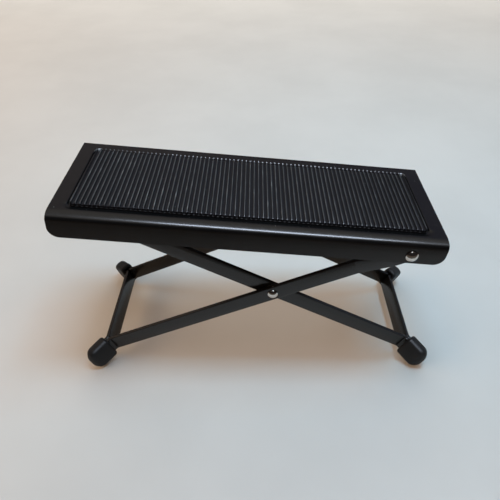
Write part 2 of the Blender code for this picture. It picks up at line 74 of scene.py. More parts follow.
def operator(operation, turned=False):
    def run(self, other):
        values = (other, self) if turned else (self, other)
        return self.node("ShaderNodeMath", {"operation": operation}, dict(enumerate(values)))

    return run


class Wire:
    # an output socket, or without one a bench for a tree's first nodes
    __add__, __radd__ = operator("ADD"), operator("ADD", turned=True)
    __sub__, __rsub__ = operator("SUBTRACT"), operator("SUBTRACT", turned=True)
    __mul__, __rmul__ = operator("MULTIPLY"), operator("MULTIPLY", turned=True)
    __truediv__, __rtruediv__ = operator("DIVIDE"), operator("DIVIDE", turned=True)
    __gt__, __lt__ = operator("GREATER_THAN"), operator("LESS_THAN")

    def __init__(self, tree, socket=None):
        self.tree = tree
        self.socket = socket

    def node(self, kind, settings=None, sockets=None, output=0):
        made = self.tree.nodes.new(kind)
        for name, value in (settings or {}).items():
            if name == "stops":
                self.setStops(made.color_ramp, value)
            else:
                setattr(made, name, value)
        for name, value in (sockets or {}).items():
            self.feed(made.inputs[name], value)
        return Wire(self.tree, made.outputs[output])

    def feed(self, target, value):
        if isinstance(value, Wire):
            self.tree.links.new(value.socket, target)
        elif target.type == "RGBA" and len(value) == 3:
            target.default_value = (*value, 1)
        else:
            target.default_value = value

    @staticmethod
    def setStops(ramp, stops):
        while len(ramp.elements) < len(stops):
            ramp.elements.new(1)
        for element, (position, colour) in zip(ramp.elements, stops):
            element.position = position
            element.color = (*colour, 1)

    def ease(self, low, high):
        # 0 below low and 1 above high, smooth between; high may be the lower of the two
        settings = {"interpolation_type": "SMOOTHSTEP"}
        return self.node("ShaderNodeMapRange", settings, {"Value": self, "From Min": low, "From Max": high})

    def between(self, first, second):
        # this value mixes two colours, by the node's colour sockets
        return self.node("ShaderNodeMix", {"data_type": "RGBA"}, {0: self, 6: first, 7: second}, output=2)

    def part(self, axis):
        return self.node("ShaderNodeSeparateXYZ", {}, {"Vector": self}, output=axis)

    def towards(self, direction):
        # how far a point lies along a direction
        settings = {"operation": "DOT_PRODUCT"}
        return self.node("ShaderNodeVectorMath", settings, {0: self, 1: direction}, output=1)

    def stretch(self, amounts):
        return self.node("ShaderNodeVectorMath", {"operation": "MULTIPLY"}, {0: self, 1: amounts})

    def grain(self, scale, detail=2.0, roughness=0.5):
        # noise, mostly between 0.3 and 0.7
        sockets = {"Vector": self, "Scale": scale, "Detail": detail, "Roughness": roughness}
        return self.node("ShaderNodeTexNoise", {}, sockets)

    def cells(self, scale, output="Distance", dimensions="3D"):
        settings = {"voronoi_dimensions": dimensions}
        return self.node("ShaderNodeTexVoronoi", settings, {"Vector": self, "Scale": scale}, output=output)

    def bump(self, strength, distance):
        sockets = {"Height": self, "Strength": strength, "Distance": distance}
        return self.node("ShaderNodeBump", {}, sockets)


def madeMaterial(name, fixed, paint):
    # paint gives the colour, the roughness and the bumps at a place
    material = bpy.data.materials.new(name)
    material.use_nodes = True
    shader = material.node_tree.nodes["Principled BSDF"]
    bench = Wire(material.node_tree)
    for socket, value in fixed.items():
        bench.feed(shader.inputs[socket], value)
    place = bench.node("ShaderNodeTexCoord", output="Object")
    for socket, value in zip(("Base Color", "Roughness", "Normal"), paint(place)):
        bench.feed(shader.inputs[socket], value)
    return material


def upwards(wire):
    return wire.node("ShaderNodeNewGeometry", output="Normal").part(2)


dustHolds = 0.6  # the least upward part of a normal on which specks lie


def dustSpecks(place, perMetre, radius, share):
    # a few specks lying on what faces up: 1 on a speck
    near = place.cells(perMetre, dimensions="2D") / perMetre
    chosen = place.cells(perMetre, output="Color", dimensions="2D").part(0) < share
    return (near < radius) * chosen * (upwards(place) > dustHolds)


# Grains and cells are counted per metre, and a bump is (strength, depth)
powderCoat = {
    "dark": (0.0034, 0.0034, 0.0038),
    "light": (0.0058, 0.0056, 0.0056),
    "roughness": 0.235,
    "roughnessSpread": 0.07,
    "cloud": 34.0,
    "film": 300.0,
    "filmCover": 0.02,  # of dust on what faces up
    "peel": 1500.0,  # the coat's orange peel
    "peelBump": (0.4, 0.00003),
    "dust": (0.30, 0.27, 0.23),
    "specks": (90.0, 0.00022, 0.05),  # cells, a speck's radius, share of cells with one
    "speckCover": 0.75,
    "speckRoughness": 0.3,
}


def paintCoat(place):
    look = powderCoat
    cloud = place.grain(look["cloud"], 4.0, 0.6)
    film = place.grain(look["film"], 3.0, 0.7)
    peel = place.grain(look["peel"], 2.0, 0.45)
    colour = cloud.ease(0.3, 0.7).between(look["dark"], look["light"])
    dusty = film.ease(0.52, 0.85) * upwards(place).ease(0.3, 1.0) * look["filmCover"]
    colour = dusty.between(colour, look["dust"])
    specks = dustSpecks(place, *look["specks"])
    colour = (specks * look["speckCover"]).between(colour, look["dust"])
    roughness = look["roughness"] + (film - 0.5) * look["roughnessSpread"] + specks * look["speckRoughness"]
    return colour, roughness, peel.bump(*look["peelBump"])


padRubber = {
    # The rib tops are painted pale: partly wear, partly a painted highlight along the crests. The flanks
    # are painted darker than the groove floor: painted shade.
    "floor": (0.0042, 0.0042, 0.0062),
    "shadedFlank": (0.002, 0.0021, 0.0032),
    "crest": (0.108, 0.107, 0.111),
    "scuff": (0.300, 0.296, 0.296),
    "dust": (0.28, 0.27, 0.25),
    "flankFrom": (0.02, 0.12),  # shares of a rib's height over which the colour changes
    "crestFrom": (0.80, 0.97),
    "roughness": 0.42,
    "cloud": 26.0,
    "cloudRoughness": 0.06,
    "crestPolish": 0.06,
    "scuffAndGlintStreak": 650.0,  # scuffs and painted glints along the ribs
    "streakStretch": (1.0, 0.12, 1.0),
    "streakShare": 0.45,  # of the crests' paleness
    "scuffCover": 0.7,
    "speckle": 900.0,
    "speckleRoughness": 0.22,
    "speckleBump": (0.5, 0.00005),
    "specks": (160.0, 0.0002, 0.06),
    "speckCover": 0.8,
    "wornTo": 0.04,  # the crests' paleness, partly wear and partly painted highlight, is less to the right of here
    "wornFrom": 0.10,
    "leastWorn": 0.62,
    "polish": 0.55,  # of the ribs' ends, by shoes
    "polishFront": 0.0014,  # its reach from the pad's edge
    "polishRear": 0.0021,
    "polishFade": 0.0005,
}


def paintPad(place):
    look = padRubber
    plateUp = platePlace.to_3x3() @ Vector((0, 0, 1))
    height = place.towards(tuple(plateUp)) - (hingePoint.dot(plateUp) + padFloor)
    share = height / (padCrest - padFloor)
    cloud = place.grain(look["cloud"], 4.0, 0.6)
    scuffAndGlintStreak = place.stretch(look["streakStretch"]).grain(look["scuffAndGlintStreak"], 3.0, 0.6)
    speckle = place.grain(look["speckle"], 3.0, 0.6)
    least = look["leastWorn"]
    crestPaleness = least + place.part(0).ease(look["wornFrom"], look["wornTo"]) * (1 - least)
    colour = share.ease(*look["flankFrom"]).between(look["floor"], look["shadedFlank"])
    # the rib tops' paleness: a painted highlight along the crests, partly wear
    top = share.ease(*look["crestFrom"]) * crestPaleness
    pale = 1 - look["streakShare"] + scuffAndGlintStreak.ease(0.35, 0.75) * look["streakShare"]
    colour = (top * pale).between(colour, look["crest"])
    # pale scuffs on the crests, together with painted glints
    scuffsAndGlints = top * scuffAndGlintStreak.ease(0.58, 0.76) * cloud.ease(0.38, 0.6) * look["scuffCover"]
    colour = scuffsAndGlints.between(colour, look["scuff"])
    specks = dustSpecks(place, *look["specks"])
    colour = (specks * look["speckCover"]).between(colour, look["dust"])
    fade = look["polishFade"]
    frontFrom, rearFrom = padLow.y + look["polishFront"], padHigh.y - look["polishRear"]
    across = place.part(1)
    rubbed = across.ease(frontFrom, frontFrom - fade) + across.ease(rearFrom, rearFrom + fade)
    roughness = look["roughness"] + (speckle - 0.5) * look["speckleRoughness"]
    roughness = roughness - top * look["crestPolish"] + cloud * look["cloudRoughness"]
    roughness = roughness * (1 - rubbed * look["polish"])
    return colour, roughness, speckle.bump(*look["speckleBump"])


feetRubber = {
    "dark": (0.0036, 0.0036, 0.0042),
    "bloom": (0.009, 0.0088, 0.009),
    "rubbed": (0.08, 0.076, 0.072),  # where a foot stands
    "rubbedTo": 0.0025,  # height over the floor
    "rubbedCover": 0.4,
    "roughness": 0.47,
    "roughnessSpread": 0.10,
    "cloud": 90.0,
    "pores": 2600.0,
    "poreBump": (0.3, 0.00003),
    "scuff": 420.0,
    "scuffStretch": (1.0, 1.0, 3.0),
}


def paintFeet(place):
    look = feetRubber
    cloud = place.grain(look["cloud"], 4.0, 0.65)
    pores = place.grain(look["pores"], 2.0, 0.6)
    scuffs = place.stretch(look["scuffStretch"]).grain(look["scuff"], 4.0, 0.7)
    colour = cloud.ease(0.40, 0.80).between(look["dark"], look["bloom"])
    rubbed = place.part(2).ease(look["rubbedTo"], 0.0) * scuffs.ease(0.35, 0.7)
    colour = (rubbed * look["rubbedCover"]).between(colour, look["rubbed"])
    roughness = look["roughness"] + (cloud + scuffs.ease(0.5, 0.8)) * look["roughnessSpread"]
    return colour, roughness, pores.bump(*look["poreBump"])


nickelPlate = {
    "bright": (0.72, 0.69, 0.65),
    "dull": (0.50, 0.46, 0.42),
    "roughness": 0.10,
    "stain": 260.0,
    "stainRoughness": 0.10,
    "scratch": 1900.0,
    "scratchStretch": (1.0, 1.0, 6.0),
    "scratchRoughness": 0.08,
    "scratchBump": (0.10, 0.00002),
}


def paintNickel(place):
    look = nickelPlate
    stain = place.grain(look["stain"], 4.0, 0.6)
    scratches = place.stretch(look["scratchStretch"]).grain(look["scratch"], 3.0, 0.6)
    colour = stain.ease(0.4, 0.8).between(look["bright"], look["dull"])
    roughness = look["roughness"] + stain.ease(0.45, 0.75) * look["stainRoughness"]
    roughness = roughness + scratches.ease(0.55, 0.75) * look["scratchRoughness"]
    return colour, roughness, scratches.bump(*look["scratchBump"])


zincRod = {
    "bright": (0.58, 0.59, 0.60),
    "dull": (0.36, 0.37, 0.36),
    "roughness": 0.28,
    "spangle": 420.0,
    "spangleRoughness": 0.06,
    "drawn": 420.0,  # lines left by drawing the rod
    "drawnStretch": (9.0, 0.5, 9.0),
    "drawnRoughness": 0.16,
    "drawnBump": (0.2, 0.00003),
}


def paintZinc(place):
    look = zincRod
    spangle = place.cells(look["spangle"], output="Color").part(0)
    drawn = place.stretch(look["drawnStretch"]).grain(look["drawn"], 3.0, 0.6)
    colour = (spangle * 0.4 + drawn * 0.5).between(look["bright"], look["dull"])
    roughness = look["roughness"] + drawn.ease(0.4, 0.7) * look["drawnRoughness"]
    roughness = roughness + spangle * look["spangleRoughness"]
    return colour, roughness, drawn.bump(*look["drawnBump"])


nylonWasher = {
    "clean": (0.55, 0.54, 0.50),
    "grimy": (0.22, 0.21, 0.19),
    "roughness": 0.42,
    "grime": 500.0,
    "grimeRoughness": 0.2,
    "grimeBump": (0.2, 0.00004),
}


def paintNylon(place):
    look = nylonWasher
    grime = place.grain(look["grime"], 4.0, 0.7)
    colour = grime.ease(0.45, 0.8).between(look["clean"], look["grimy"])
    roughness = look["roughness"] + grime * look["grimeRoughness"]
    return colour, roughness, grime.bump(*look["grimeBump"])


smoothAngle = radians(35)
quarterTurn = radians(90)
leastBend = radians(1)  # a smaller one is left as a corner
merge = 1e-6  # points of a path nearer than this are one
mergeMesh = 1e-7  # and those of a mesh
pinhole = 0.00002  # a turned piece's radius at its very middle


def arcPoints(centre, radius, start, end, step):
    # the step is in degrees
    count = max(2, ceil(abs(end - start) / radians(step)))
    angles = [start + (end - start) * index / count for index in range(count + 1)]
    return [Vector((centre[0] + radius * cos(a), centre[1] + radius * sin(a))) for a in angles]


def angleSteps(count, start=0, end=90):
    # the angles between two that are given in degrees
    return [radians(start + (end - start) * index / count) for index in range(count + 1)]


def bentPath(corners, step):
    # a line through (x, y, bend radius) corners with each bend drawn as an arc
    points = [Vector(corners[0][:2])]
    for before, corner, after in zip(corners, corners[1:], corners[2:]):
        here, radius = Vector(corner[:2]), corner[2]
        into = (here - Vector(before[:2])).normalized()
        out = (Vector(after[:2]) - here).normalized()
        turn = into.angle_signed(out)
        if radius == 0 or abs(turn) < leastBend:
            points.append(here)
            continue
        side = -copysign(1, turn)
        start = here - into * radius * tan(abs(turn) / 2)
        centre = start + Vector((-into.y, into.x)) * radius * side
        first = atan2(start.y - centre.y, start.x - centre.x)
        points.extend(arcPoints(centre, radius, first, first + side * abs(turn), step))
    points.append(Vector(corners[-1][:2]))
    pairs = zip(points[1:], points)
    return points[:1] + [point for point, before in pairs if (point - before).length > merge]


def meshOf(name, vertices, faces):
    mesh = bpy.data.meshes.new(name)
    mesh.from_pydata([tuple(vertex) for vertex in vertices], [], faces)
    shape = bmesh.new()
    shape.from_mesh(mesh)
    bmesh.ops.remove_doubles(shape, verts=shape.verts, dist=mergeMesh)
    bmesh.ops.recalc_face_normals(shape, faces=shape.faces)
    shape.to_mesh(mesh)
    shape.free()
    return mesh


def skinMesh(name, rows, around=True, ends=True):
    # a skin over rows of equally many points, closed around and at the ends if asked
    count = len(rows[0])
    vertices = [point for row in rows for point in row]
    faces = []
    for row in range(len(rows) - 1):
        first, second = row * count, (row + 1) * count
        for index in range(count if around else count - 1):
            after = (index + 1) % count
            faces.append((first + index, first + after, second + after, second + index))
    if ends:
        last = (len(rows) - 1) * count
        faces += [tuple(range(count)), tuple(range(last, last + count))]
    return meshOf(name, vertices, faces)


def turnedMesh(name, profile, segments=48, ends=True):
    # a profile of (radius, height) turned about Z
    angles = [tau * index / segments for index in range(segments)]
    loops = []
    for radius, height in profile:
        loops.append([Vector((radius * cos(a), radius * sin(a), height)) for a in angles])
    return skinMesh(name, loops, ends=ends)


def added(name, data):
    item = bpy.data.objects.new(name, data)
    bpy.context.scene.collection.objects.link(item)
    return item


def addPiece(name, mesh, material, place, body, replaced=()):
    mesh.transform(place)
    mesh.materials.clear()
    mesh.materials.append(material)
    piece = added(name, mesh)
    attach(piece, body)
    if replaced:
        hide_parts(*replaced)


def worked(mesh, *steps):
    # runs modifiers on a mesh and gives back the result, smooth except over crisp edges
    holder = added(mesh.name, mesh)
    tools = []
    for kind, settings in steps:
        modifier = holder.modifiers.new(kind.lower(), kind)
        for name, value in settings.items():
            setattr(modifier, name, value)
        if kind == "BOOLEAN":
            tools.append(settings["object"])
    bpy.context.view_layer.update()
    graph = bpy.context.evaluated_depsgraph_get()
    done = bpy.data.meshes.new_from_object(holder.evaluated_get(graph))
    done.name = mesh.name
    bpy.data.objects.remove(holder)
    for tool in tools:
        bpy.data.objects.remove(tool)
    done.shade_smooth()
    done.set_sharp_from_angle(angle=smoothAngle)
    return done


weighted = ("WEIGHTED_NORMAL", {"keep_sharp": True, "weight": 60})
drillReach = 0.2
holeRadius = 0.0028


def drilled(radius, place=Matrix.Identity(4)):
    # a hole along Y through all that is in the way
    mesh = turnedMesh("drill", [(radius, -drillReach), (radius, drillReach)])
    mesh.transform(Matrix.Rotation(quarterTurn, 4, "X"))
    tool = added("drill", mesh)
    tool.matrix_world = place
    return "BOOLEAN", {"operation": "DIFFERENCE", "object": tool, "solver": "EXACT"}


plateLook = {
    "sheet": 0.0015,
    "frontFold": 0.0048,  # outside radius
    "rearFold": 0.0024,
    "crownReach": 0.0052,  # over this width the front margin falls towards its fold
    "crownDrop": 0.00095,
    "cornerRadius": 0.0075,  # of the flanges' lower corners
    "recessDepth": 0.0013,
    "recessGap": 0.0008,  # pad to the recess's wall
    "shoulderIn": 0.0005,  # the soft shoulder's reach from that wall
    "shoulderOut": 0.0008,
    "shoulderFront": 0.0046,
    # The rest sets how fine the mesh is
    "coarse": 0.004,
    "fine": 0.00028,  # on the shoulder
    "frontMargin": 0.0005,
    "rearMargin": 0.001,
    "endMargin": 0.0015,
    "endRow": 0.0008,
    "leastStep": 0.0002,  # between a fold's last point and the flange's first
}
plateLow, plateHigh = boxIn(platePlace, "foot_plate")
padLow, padHigh = boxIn(platePlace, "tread_pad")
padCorner = 0.004


def outsideOf(x, y, halfLength, halfWidth, radius):
    # signed distance from a rounded rectangle, below 0 inside it
    acrossX = abs(x) - (halfLength - radius)
    acrossY = abs(y) - (halfWidth - radius)
    outer = hypot(max(acrossX, 0), max(acrossY, 0))
    return outer + min(max(acrossX, acrossY), 0) - radius


def smoothStep(value, low, high):
    share = min(1, max(0, (value - low) / (high - low)))
    return share * share * (3 - 2 * share)


def spaced(stops):
    # positions from (end, spacing) stretches, the first end being the start
    positions = [stops[0][0]]
    for end, spacing in stops[1:]:
        start = positions[-1]
        count = max(1, round(abs(end - start) / spacing))
        positions += [start + (end - start) * (index + 1) / count for index in range(count)]
    return positions


def mirrored(positions):
    # positions from 0 outwards, completed to both sides
    return [-position for position in reversed(positions[1:])] + positions


def foldOver(radius, drop):
    # a fold and its flange as (distance from the middle, height), and where it starts
    look = plateLook
    outerY, corner = (plateHigh.y - plateLow.y) / 2, look["cornerRadius"]
    lean = atan(2 * drop / look["crownReach"])  # the sheet's slope at the start
    middle = outerY - radius
    start = middle + radius * sin(lean)
    height = plateHigh.z - drop - radius * cos(lean)
    bend = arcPoints((middle, height), radius, quarterTurn - lean, 0, step=6)
    flange = [plateLow.z + corner * (1 - cos(angle)) for angle in reversed(angleSteps(count=12))]
    line = [(point.x, point.y) for point in bend[1:] if point.y > flange[0] + look["leastStep"]]
    return line + [(outerY, z) for z in flange], start


def buildPlate(material):
    look = plateLook
    middle, halfLength = (plateLow.x + plateHigh.x) / 2, (plateHigh.x - plateLow.x) / 2
    top, bottom = plateHigh.z, plateLow.z
    recessX = (padHigh.x - padLow.x) / 2 + look["recessGap"]
    recessY = (padHigh.y - padLow.y) / 2 + look["recessGap"]
    recessRadius = padCorner + look["recessGap"]
    corner, reach, drop = look["cornerRadius"], look["crownReach"], look["crownDrop"]
    front, frontStart = foldOver(look["frontFold"], drop)
    rear, rearStart = foldOver(look["rearFold"], 0)
    crownStart = frontStart - reach
    nearX = recessX - recessRadius - look["shoulderIn"]
    nearY = recessY - recessRadius - look["shoulderIn"]
    fine, coarse = look["fine"], look["coarse"]
    columns = mirrored(spaced([
        (0, 0), (nearX, coarse), (recessX + look["shoulderOut"] + fine, fine),
        (halfLength - look["endRow"], look["endMargin"]), (halfLength, look["endRow"]),
    ]))

    def outwards(shoulder, start, margin):
        return spaced([(0, 0), (nearY, coarse), (recessY + shoulder + fine, fine), (start, margin)])

    towardsFront = outwards(look["shoulderFront"], frontStart, look["frontMargin"])
    across = [-y for y in reversed(towardsFront[1:])]
    across += outwards(look["shoulderOut"], rearStart, look["rearMargin"])

    def sunk(x, y):
        # how far the sheet lies under its top
        out = outsideOf(x, y, recessX, recessY, recessRadius)
        wider = (look["shoulderFront"] - look["shoulderOut"]) * smoothStep(-y, nearY, recessY)
        edge = smoothStep(out, -look["shoulderIn"], look["shoulderOut"] + wider)
        return look["recessDepth"] * (1 - edge) + drop * (max(0, -y - crownStart) / reach) ** 2

    section = [(-y, z) for y, z in reversed(front)] + [(y, None) for y in across] + rear
    rows = []
    for y, z in section:
        under = 0 if z is None else max(0, corner - (z - bottom))  # where the flange's end rounds in
        inset = corner - sqrt(max(0, corner**2 - under**2))
        share = (halfLength - inset) / halfLength
        heights = [top - sunk(x, y) if z is None else z for x in columns]
        rows.append([Vector((middle + x * share, y, height)) for x, height in zip(columns, heights)])
    mesh = worked(
        skinMesh("footPlate", rows, around=False, ends=False),
        ("SOLIDIFY", {"thickness": look["sheet"], "offset": -1, "use_even_offset": True}),
        drilled(holeRadius),
        weighted,
    )
    addPiece("footPlate", mesh, material, platePlace, "deck", ["foot_plate"])


padLook = {
    "ribs": 76,
    "ribHeight": 0.0012,
    "ribShape": [  # distance from a rib's middle in mm, share of its height
        (0, 1), (0.12, 0.99), (0.24, 0.96), (0.34, 0.89), (0.42, 0.76), (0.56, 0.40), (0.66, 0.17),
        (0.76, 0.04), (0.88, 0),
    ],
    "ribEnd": 0.0006,  # radius at a rib's rear end
    # Next: distance in from an end and height, in mm
    "nose": [(0, 1.2), (0.10, 0.86), (0.24, 0.66), (0.40, 0.55), (1.20, 0.08), (1.34, 0.02), (1.50, 0)],
    "floorFall": [(0, 1.2), (0.35, 0.9), (0.45, 0)],  # of the floor between ribs, at the front
    "tipShape": [  # at the rear a rib dips, and ends in a raised tip
        (0, 0.20), (0.15, 0.32), (0.32, 0.40), (0.5, 0.38), (0.66, 0.28), (0.82, 0.16), (1.0, 0),
        (1.2, -0.16), (1.38, -0.30), (1.55, -0.38), (1.8, -0.42), (2.3, -0.32), (2.8, -0.12), (3.3, 0),
    ],
    "tipWide": (0.0022, 0.0013),  # inwards from the pad's edge: a tip starts, and is full
    "tipBehind": (0.0033, 0.0022),  # likewise from its rear end
    "tipsJoin": (3.2, 2.9),  # half pitches from the pad's end: the tips join
    "sideRound": 0.0004,
    "sink": 0.0005,  # deeper in the recess than its solid
    "deeper": 0.0004,
}
padCrest = padHigh.z - padLook["sink"]  # heights over the plate's hinge, square to the plate
padFloor = padCrest - padLook["ribHeight"]


def buildPad(material):
    look = padLook
    middle = (padLow.x + padHigh.x) / 2
    halfLength, halfWidth = (padHigh.x - padLow.x) / 2, (padHigh.y - padLow.y) / 2
    base = padLow.z - look["sink"] - look["deeper"]
    halfPitch = halfLength / look["ribs"]
    shape = [(distance / 1000, share) for distance, share in look["ribShape"]]
    columns = []
    for index in range(look["ribs"]):
        centre = (2 * index + 1) * halfPitch - halfLength
        columns.append((centre - halfPitch, 0))
        columns += [(centre - distance, share) for distance, share in reversed(shape[1:])]
        columns += [(centre + distance, share) for distance, share in shape]
    columns.append((halfLength, 0))
    nose, floorFall, tipShape = (
        [(distance / 1000, height / 1000) for distance, height in look[name]]
        for name in ("nose", "floorFall", "tipShape")
    )
    ribHeight, ribEnd, sideRound = look["ribHeight"], look["ribEnd"], look["sideRound"]
    joinFrom, joinTo = (halfLength - count * halfPitch for count in look["tipsJoin"])
    frontEnds = sorted({distance for distance, fall in nose + floorFall})
    rearEnds = [ribEnd * (1 - cos(angle)) for angle in angleSteps(count=6)]
    rearEnds += [distance for distance, rise in tipShape if distance > ribEnd * 1.1]

    def reachAt(x):
        inside = halfLength - abs(x)
        if inside >= padCorner:
            return halfWidth
        return halfWidth - padCorner + sqrt(max(0, padCorner**2 - (padCorner - inside) ** 2))

    def quarter(fromEnd, radius):
        # 0 at an end and 1 a radius further in, like a quarter circle
        return sqrt(1 - (1 - min(1, fromEnd / radius)) ** 2)

    def along(line, fromEnd):
        # a height read off a line of (distance, height) points, 0 beyond its last
        for (near, first), (far, second) in zip(line, line[1:]):
            if fromEnd <= far:
                return first + (second - first) * (fromEnd - near) / (far - near)
        return 0

    def sideDrop(x):
        return sideRound * (1 - quarter(halfLength - abs(x), sideRound))

    def frontHeight(x, share, fromEnd):
        # the nose cuts a rib's end off in a slope, and the grooves run out in steps
        drop = max(along(floorFall, fromEnd) * (1 - share), sideDrop(x))
        return padFloor - drop + min(ribHeight * share, ribHeight - along(nose, fromEnd))

    def rearHeight(x, share, fromEnd):
        # the tips are a little wider than the ribs, and join round the pad's corners
        inwards = -outsideOf(x, reachAt(x) - fromEnd, halfLength, halfWidth, padCorner)
        joined = smoothStep(abs(x), joinFrom, joinTo)
        inTip = smoothStep(inwards, *look["tipWide"]) * smoothStep(fromEnd, *look["tipBehind"])
        body = max(share, inTip * max(1 - (1 - share) ** 3, joined))
        height = (ribHeight + along(tipShape, max(0, inwards))) * body
        return padFloor - sideDrop(x) + height * quarter(fromEnd, ribEnd)

    loops = []
    for x, share in columns:
        reach = reachAt(x)
        line = [Vector((middle + x, d - reach, frontHeight(x, share, d))) for d in frontEnds]
        line += [Vector((middle + x, reach - d, rearHeight(x, share, d))) for d in reversed(rearEnds)]
        line += [Vector((middle + x, reach, base)), Vector((middle + x, -reach, base))]
        loops.append(line)
    mesh = worked(skinMesh("treadPad", loops))
    addPiece("treadPad", mesh, material, platePlace, "deck", ["tread_pad"])


stripLook = {
    "width": 0.012,
    "thickness": 0.003,
    "edgeRound": 0.00045,
    "bendRadius": 0.0035,
    "earLength": 0.018,
    "earSlot": 0.0006,
    "joggleStart": 0.0375,
    "joggleEnd": 0.013,
    "tipFrom": 8,  # degrees along the round end where the mesh starts
}
earSpacing = stripLook["thickness"] + stripLook["earSlot"]
outerLook = {
    "footReach": 0.1434,
    "faceAtCross": 0.04375,
    "faceAtTop": 0.0477,
    "topReach": (hingePoint - crossPoint).length,
    "topHole": holeRadius,
    "footSide": -1,
    "place": outerPlace,
    "body": "outer_legs",
}
innerLook = {
    "footReach": 0.1241,
    "faceAtCross": 0.03965,
    "faceAtTop": 0.03965,
    "topReach": (rodPoint - crossPoint).length,
    "topHole": 0.0022,
    "footSide": 1,
    "place": innerPlace,
    "body": "inner_legs",
}


def framePath(look):
    # the strip's middle line: down a side, out and back at each ear, over the crossbar and up
    strip = stripLook
    half, halfWidth = strip["thickness"] / 2, strip["width"] / 2
    side, top = look["faceAtCross"] - half, look["faceAtTop"] - half
    offset = earSpacing / sqrt(2)
    along = (strip["earLength"] - half) / sqrt(2)
    step = offset / 2
    foot, topReach, bend = look["footReach"], look["topReach"], strip["bendRadius"]
    corners = [(-topReach - halfWidth, -top, 0)]
    if top != side:
        joggle = (strip["joggleEnd"], -top), (strip["joggleStart"], -side)
        corners += [(x - topReach, y, bend) for x, y in joggle]
    corners += [
        (foot - offset, -side, bend),
        (foot + along - step, -side - along - step, earSpacing / 2),
        (foot + along + step, -side - along + step, earSpacing / 2),
        (foot, -side + offset, bend),
    ]
    corners += [(x, -y, radius) for x, y, radius in reversed(corners)]
    turned = [(look["footSide"] * x, y, radius) for x, y, radius in corners]
    path = bentPath(turned, step=7.5)
    tips = [halfWidth * (1 - cos(angle)) for angle in angleSteps(count=9, start=strip["tipFrom"])]
    inwards = Vector((look["footSide"], 0))
    head = [path[0] + inwards * tip for tip in tips]
    tail = [path[-1] + inwards * tip for tip in reversed(tips)]
    return head + path[1:-1] + tail


def roundedBox(halfWide, halfHigh, radius, step, shares=(), crown=0):
    # a ring of points, whose faces bow outwards by the crown and have points at the shares
    a, b = halfWide - radius, halfHigh - radius
    centres = [(a, b), (-a, b), (-a, -b), (a, -b)]
    points = []
    for index, centre in enumerate(centres):
        first = quarterTurn * index
        last = first + quarterTurn
        points += arcPoints(centre, radius, first, last, step)
        outwards = Vector((cos(last), sin(last)))
        start, end = Vector(centre), Vector(centres[(index + 1) % 4])
        for share in shares:
            bow = crown * (1 - (2 * share - 1) ** 2)
            points.append(start.lerp(end, share) + outwards * (radius + bow))
    return points


def buildFrame(name, node, look, material):
    strip = stripLook
    halfWidth = strip["width"] / 2
    firstTip = halfWidth * (1 - cos(radians(strip["tipFrom"])))
    path = framePath(look)
    loops = []
    for index, point in enumerate(path):
        before = path[max(0, index - 1)]
        after = path[min(len(path) - 1, index + 1)]
        into = (point - before).normalized() if index else (after - point).normalized()
        out = (after - point).normalized() if index < len(path) - 1 else into
        along = (into + out).normalized()
        normal = Vector((-along.y, along.x))
        stretch = 1 / max(0.5, along.dot(into))  # keeps the thickness through a bend
        fromTop = min((point - path[0]).length, (point - path[-1]).length) + firstTip
        half = halfWidth
        if fromTop < halfWidth:
            half = sqrt(max(1e-9, halfWidth**2 - (halfWidth - fromTop) ** 2))
        edge = min(strip["edgeRound"], half * 0.9)
        loop = []
        for spot in roundedBox(strip["thickness"] / 2, half, edge, step=30):
            across = spot.x * stretch
            loop.append(Vector((point.x + normal.x * across, point.y + normal.y * across, spot.y)))
        loops.append(loop)
    crossHole = drilled(holeRadius)
    topHole = drilled(look["topHole"], Matrix.Translation((-look["footSide"] * look["topReach"], 0, 0)))
    mesh = worked(skinMesh(name, loops), crossHole, topHole, weighted)
    addPiece(name, mesh, material, look["place"], look["body"], [node])


footLook = {
    "length": 0.0199,
    "sideWall": 0.0021,
    "edgeWall": 0.0032,
    "endWall": 0.0027,
    "cornerRadius": 0.0034,
    "dome": 0.0078,  # the closed end's round part
    "domePower": 2.4,  # 2 is an ellipse, more is squarer
    "thinPower": 1.9,
    "domeFrom": 11,  # degrees: the end is flat up to here
    "domeSoft": 0.6,  # how round its corners become
    "mouthRound": 0.0022,  # at the top and bottom
    "mouthRoundSide": 0.0013,
    "crown": 0.00025,  # the faces stand out at their middle
    "gap": 0.0003,
    "sag": 0.00012,  # the foot hangs in that gap
    "lip": (0.0004, 0.0003, 0.0014),  # wider at the mouth: sideways, upwards, corner radius
    "lipDepth": (0.0002, 0.0009),  # where the lip lies, and the straight bore starts
    "boreCorner": 0.0009,
    "boreRound": 85,  # degrees of round at its closed end
    "faceShares": (0.14, 0.32, 0.5, 0.68, 0.86),  # where a face has points
}


def footRing(x, halfY, halfZ, radius, crown=0):
    radius = min(radius, halfY * 0.98, halfZ * 0.98)  # leaves a face between the corners
    ring = roundedBox(halfY, halfZ, radius, step=11, shares=footLook["faceShares"], crown=crown)
    return [Vector((x, point.x, point.y)) for point in ring]


